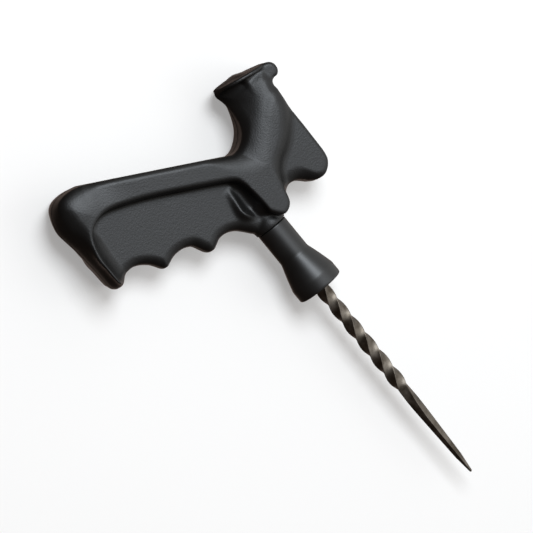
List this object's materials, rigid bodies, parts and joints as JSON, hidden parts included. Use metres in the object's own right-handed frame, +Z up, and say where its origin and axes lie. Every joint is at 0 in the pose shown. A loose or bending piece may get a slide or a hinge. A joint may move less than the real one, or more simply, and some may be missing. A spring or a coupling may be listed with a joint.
{
  "type": "tyre plug reamer",
  "caption": "Pistol-grip hand reamer: moulded handle with thumb horn, wing guard and finger grooves, conical nose sleeve, twisted square steel bar with tapered point.",
  "frame": {"origin": "centre of the bounding box's bottom face: the tool lies on its side on z = 0", "axes": "+X along the bar towards the point, +Y from the grip's butt towards the wing, +Z up, square to the handle's middle plane"},
  "size_m": [0.2116, 0.1204, 0.028],
  "materials": {
    "handle_plastic": "fine spark-eroded texture, satin black",
    "sleeve_plastic": "smooth satin black",
    "bar_steel": "oil-blackened forged steel with bright worn edges"
  },
  "bodies": {
    "root": {"handle": "handle_plastic", "nose_sleeve": "sleeve_plastic", "reamer_bar": "bar_steel"}
  },
  "joints": []
}
